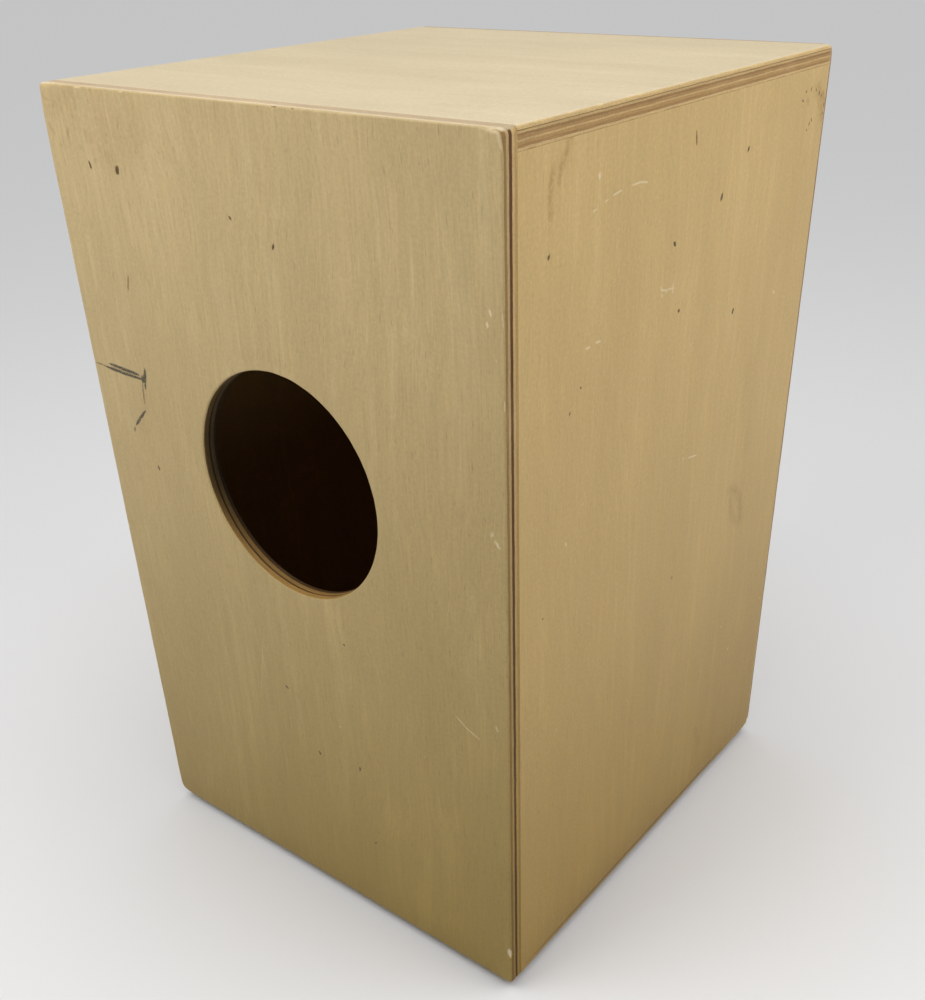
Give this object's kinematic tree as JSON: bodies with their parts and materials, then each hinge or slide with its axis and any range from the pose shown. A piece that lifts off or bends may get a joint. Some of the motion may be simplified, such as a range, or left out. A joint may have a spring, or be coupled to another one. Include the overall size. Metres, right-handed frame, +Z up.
{
  "type": "cajon",
  "caption": "Plywood box drum with a thin screwed-on playing face, a round sound hole in the rear panel, rubber feet and a swivelling snare bar inside.",
  "frame": {"origin": "bottom centre of the whole drum, on the floor plane under its rubber feet", "axes": "+Z up; the tapa, which the player strikes, looks along -Y; the rear panel with the sound hole looks along +Y; X runs across, the player's right being -X"},
  "size_m": [0.3, 0.3152, 0.485],
  "materials": {
    "birch_ply": "satin clear lacquer over pale birch ply, worn at the edges",
    "tapa_veneer": "satin clear lacquer over 3 mm birch ply",
    "pine": "planed, unfinished softwood",
    "screw_steel": "zinc plated",
    "snare_steel": "bright drawn wire with a soldered end plate",
    "foot_rubber": "matt black rubber",
    "clip_plastic": "fine-textured black nylon"
  },
  "bodies": {
    "box": {"top_panel": "birch_ply", "bottom_panel": "birch_ply", "side_panel_right": "birch_ply", "side_panel_left": "birch_ply", "rear_panel": "birch_ply", "tapa": "tapa_veneer", "batten_right": "pine", "batten_left": "pine", "batten_bottom": "pine", "batten_top": "pine", "tapa_screw_right_1": "screw_steel", "tapa_screw_right_2": "screw_steel", "tapa_screw_right_3": "screw_steel", "tapa_screw_right_4": "screw_steel", "tapa_screw_right_5": "screw_steel", "tapa_screw_left_1": "screw_steel", "tapa_screw_left_2": "screw_steel", "tapa_screw_left_3": "screw_steel", "tapa_screw_left_4": "screw_steel", "tapa_screw_left_5": "screw_steel", "tapa_screw_bottom_1": "screw_steel", "tapa_screw_bottom_2": "screw_steel", "tapa_screw_bottom_3": "screw_steel", "tapa_screw_top_1": "screw_steel", "tapa_screw_top_2": "screw_steel", "tapa_screw_top_3": "screw_steel", "foot_front_right": "foot_rubber", "foot_front_left": "foot_rubber", "foot_rear_right": "foot_rubber", "foot_rear_left": "foot_rubber", "foot_screw_front_right": "screw_steel", "foot_screw_front_left": "screw_steel", "foot_screw_rear_right": "screw_steel", "foot_screw_rear_left": "screw_steel", "snare_clip_right": "clip_plastic", "snare_clip_left": "clip_plastic", "clip_screw_right_1": "screw_steel", "clip_screw_right_2": "screw_steel", "clip_screw_left_1": "screw_steel", "clip_screw_left_2": "screw_steel"},
    "snare": {"snare_bar": "pine", "bar_sleeve_right": "foot_rubber", "bar_sleeve_left": "foot_rubber", "snare_wires_right": "snare_steel", "snare_wires_left": "snare_steel", "snare_screw_right_1": "screw_steel", "snare_screw_right_2": "screw_steel", "snare_screw_left_1": "screw_steel", "snare_screw_left_2": "screw_steel"}
  },
  "joints": [
    {"name": "snare_swivel", "type": "hinge", "parent": "box", "child": "snare", "pos_m": [0, -0.12216, 0.4], "axis": [1, 0, 0], "range_deg": [0, 40]}
  ]
}
